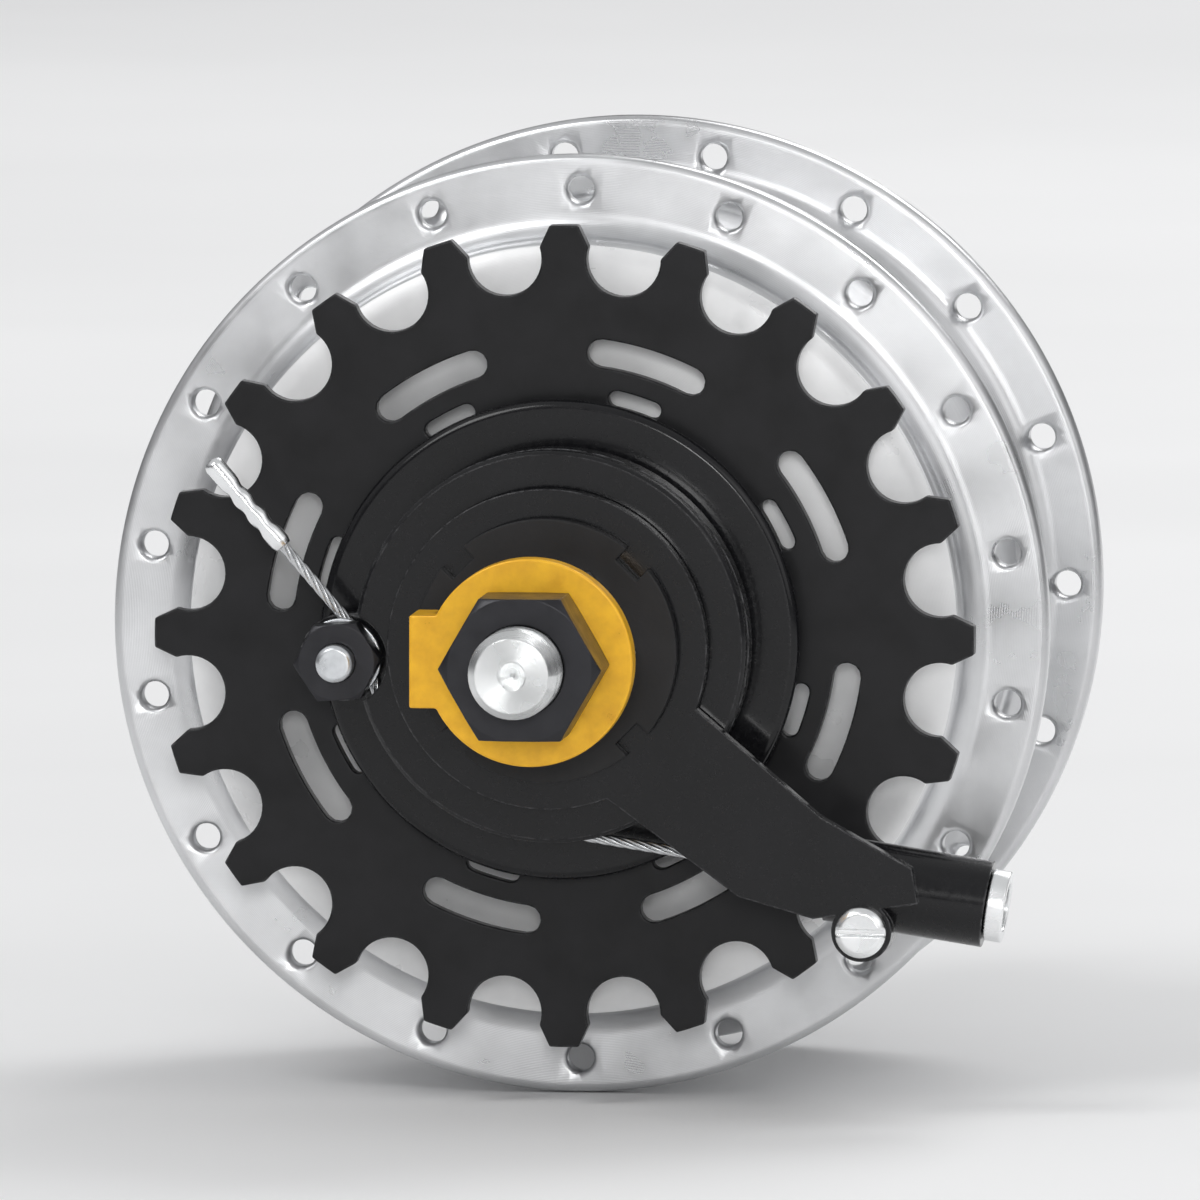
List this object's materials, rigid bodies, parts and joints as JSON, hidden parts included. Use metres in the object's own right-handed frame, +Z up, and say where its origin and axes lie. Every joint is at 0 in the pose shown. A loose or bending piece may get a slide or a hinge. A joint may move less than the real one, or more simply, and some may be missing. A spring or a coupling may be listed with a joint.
{
  "type": "bicycle hub gear",
  "caption": "Internally geared bicycle hub: flanged silver shell on a bolted axle, black sprocket, and a cable-turned shift pulley with its bracket beside it.",
  "frame": {"origin": "on the axle's axis, midway between the two locknut faces", "axes": "-Y is the drive side along the axle, +X is the front of the bicycle, +Z is up"},
  "size_m": [0.1, 0.184, 0.1],
  "materials": {
    "axle_steel": "machined",
    "black_nut": "black oxide",
    "gold_washer": "yellow gold finish",
    "zinc_steel": "zinc plated",
    "bearing_steel": "ground",
    "black_plastic": "moulded",
    "gear_steel": "hardened",
    "spring_steel": "drawn",
    "shell_aluminium": "satin",
    "bright_cap": "polished",
    "seal_rubber": "matt",
    "brass_cage": "stamped",
    "black_sprocket": "satin black",
    "gloss_black": "gloss",
    "wire_steel": "stranded"
  },
  "bodies": {
    "axle_assembly": {"axle": "axle_steel", "axle_nuts": "black_nut", "bracket_screw": "bright_cap", "right_nonturn_washer": "gold_washer", "left_nonturn_washer": "zinc_steel", "right_locknut": "zinc_steel", "left_locknut": "zinc_steel", "left_lock_washer": "zinc_steel", "right_cone": "bearing_steel", "left_cone": "bearing_steel", "left_dust_cover": "black_plastic", "sun_gear_1": "gear_steel", "sun_gear_4": "gear_steel", "sun_pawls": "gear_steel", "pawl_springs": "spring_steel", "cable_bracket": "gloss_black", "fixing_ring": "black_plastic", "wire_run": "wire_steel", "casing_ferrule": "bright_cap"},
    "driver_assembly": {"driver": "gear_steel", "sprocket": "black_sprocket", "snap_ring": "spring_steel", "driver_dust_cap": "gloss_black", "ring_gear_1": "gear_steel", "clutch_ring": "gear_steel", "clutch_spring": "spring_steel"},
    "shell_assembly": {"hub_shell": "shell_aluminium", "left_ball_cup": "bearing_steel", "right_ball_cup": "bearing_steel", "shell_dust_cap": "bright_cap", "left_seal": "seal_rubber", "ring_gear_2": "gear_steel", "roller_cage": "brass_cage", "clutch_rollers": "bearing_steel"},
    "carrier_assembly": {"planet_carrier": "gear_steel", "carrier_cover": "gear_steel", "planet_pins": "bearing_steel"},
    "free_sun_2": {"sun_gear_2": "gear_steel"},
    "free_sun_3": {"sun_gear_3": "gear_steel"},
    "left_bearing": {"left_balls": "bearing_steel", "left_ball_retainer": "brass_cage"},
    "right_bearing": {"right_balls": "bearing_steel", "right_ball_retainer": "brass_cage"},
    "driver_bearing": {"driver_balls": "bearing_steel", "driver_ball_retainer": "brass_cage"},
    "shifter": {"shift_sleeve": "gear_steel", "driver_cap": "black_plastic", "shift_pulley": "gloss_black", "return_spring": "spring_steel", "anchor_bolt": "zinc_steel", "anchor_washer": "zinc_steel", "anchor_nut": "black_nut", "wire_wrap": "wire_steel", "wire_end_cap": "bright_cap"},
    "planet_a_1_body": {"planet_a_1": "gear_steel"},
    "planet_a_2_body": {"planet_a_2": "gear_steel"},
    "planet_a_3_body": {"planet_a_3": "gear_steel"},
    "planet_b_1_body": {"planet_b_1": "gear_steel"},
    "planet_b_2_body": {"planet_b_2": "gear_steel"},
    "planet_b_3_body": {"planet_b_3": "gear_steel"}
  },
  "joints": [
    {"name": "shell_spin", "type": "hinge", "parent": "axle_assembly", "child": "shell_assembly", "pos_m": [0, 0, 0], "axis": [0, 1, 0], "continuous": true},
    {"name": "driver_spin", "type": "hinge", "parent": "axle_assembly", "child": "driver_assembly", "pos_m": [0, 0, 0], "axis": [0, 1, 0], "continuous": true},
    {"name": "carrier_spin", "type": "hinge", "parent": "axle_assembly", "child": "carrier_assembly", "pos_m": [0, 0, 0], "axis": [0, 1, 0], "continuous": true},
    {"name": "sun_2_spin", "type": "hinge", "parent": "axle_assembly", "child": "free_sun_2", "pos_m": [0, 0, 0], "axis": [0, 1, 0], "continuous": true},
    {"name": "sun_3_spin", "type": "hinge", "parent": "axle_assembly", "child": "free_sun_3", "pos_m": [0, 0, 0], "axis": [0, 1, 0], "continuous": true},
    {"name": "left_bearing_roll", "type": "hinge", "parent": "axle_assembly", "child": "left_bearing", "pos_m": [0, 0, 0], "axis": [0, 1, 0], "continuous": true},
    {"name": "right_bearing_roll", "type": "hinge", "parent": "axle_assembly", "child": "right_bearing", "pos_m": [0, 0, 0], "axis": [0, 1, 0], "continuous": true},
    {"name": "driver_bearing_roll", "type": "hinge", "parent": "axle_assembly", "child": "driver_bearing", "pos_m": [0, 0, 0], "axis": [0, 1, 0], "continuous": true},
    {"name": "planet_a_1_spin", "type": "hinge", "parent": "carrier_assembly", "child": "planet_a_1_body", "pos_m": [0.021, 0, 0], "axis": [0, 1, 0], "continuous": true},
    {"name": "planet_a_2_spin", "type": "hinge", "parent": "carrier_assembly", "child": "planet_a_2_body", "pos_m": [-0.0105, 0, 0.01819], "axis": [0, 1, 0], "continuous": true},
    {"name": "planet_a_3_spin", "type": "hinge", "parent": "carrier_assembly", "child": "planet_a_3_body", "pos_m": [-0.0105, 0, -0.01819], "axis": [0, 1, 0], "continuous": true},
    {"name": "planet_b_1_spin", "type": "hinge", "parent": "carrier_assembly", "child": "planet_b_1_body", "pos_m": [0.021, 0, 0], "axis": [0, 1, 0], "continuous": true},
    {"name": "planet_b_2_spin", "type": "hinge", "parent": "carrier_assembly", "child": "planet_b_2_body", "pos_m": [-0.0105, 0, 0.01819], "axis": [0, 1, 0], "continuous": true},
    {"name": "planet_b_3_spin", "type": "hinge", "parent": "carrier_assembly", "child": "planet_b_3_body", "pos_m": [-0.0105, 0, -0.01819], "axis": [0, 1, 0], "continuous": true},
    {"name": "pulley_turn", "type": "hinge", "parent": "axle_assembly", "child": "shifter", "pos_m": [0, 0, 0], "axis": [0, -1, 0], "range_deg": [0, 77], "stiffness_Nm_per_rad": 0.08, "springref_deg": -20.05, "deforming": ["wire_wrap"]}
  ],
  "couplings": [
    {"joint": "driver_spin", "follows": "shell_spin", "ratio": 1.2273},
    {"joint": "carrier_spin", "follows": "shell_spin", "ratio": 0.64286},
    {"joint": "sun_2_spin", "follows": "shell_spin", "ratio": -0.96429},
    {"joint": "sun_3_spin", "follows": "shell_spin", "ratio": -0.25},
    {"joint": "left_bearing_roll", "follows": "shell_spin", "ratio": 0.56809},
    {"joint": "right_bearing_roll", "follows": "shell_spin", "ratio": 1.1069},
    {"joint": "driver_bearing_roll", "follows": "shell_spin", "ratio": 0.68595},
    {"joint": "planet_a_1_spin", "follows": "shell_spin", "ratio": 1.6071},
    {"joint": "planet_a_2_spin", "follows": "shell_spin", "ratio": 1.6071},
    {"joint": "planet_a_3_spin", "follows": "shell_spin", "ratio": 1.6071},
    {"joint": "planet_b_1_spin", "follows": "shell_spin", "ratio": 1.6071},
    {"joint": "planet_b_2_spin", "follows": "shell_spin", "ratio": 1.6071},
    {"joint": "planet_b_3_spin", "follows": "shell_spin", "ratio": 1.6071}
  ]
}
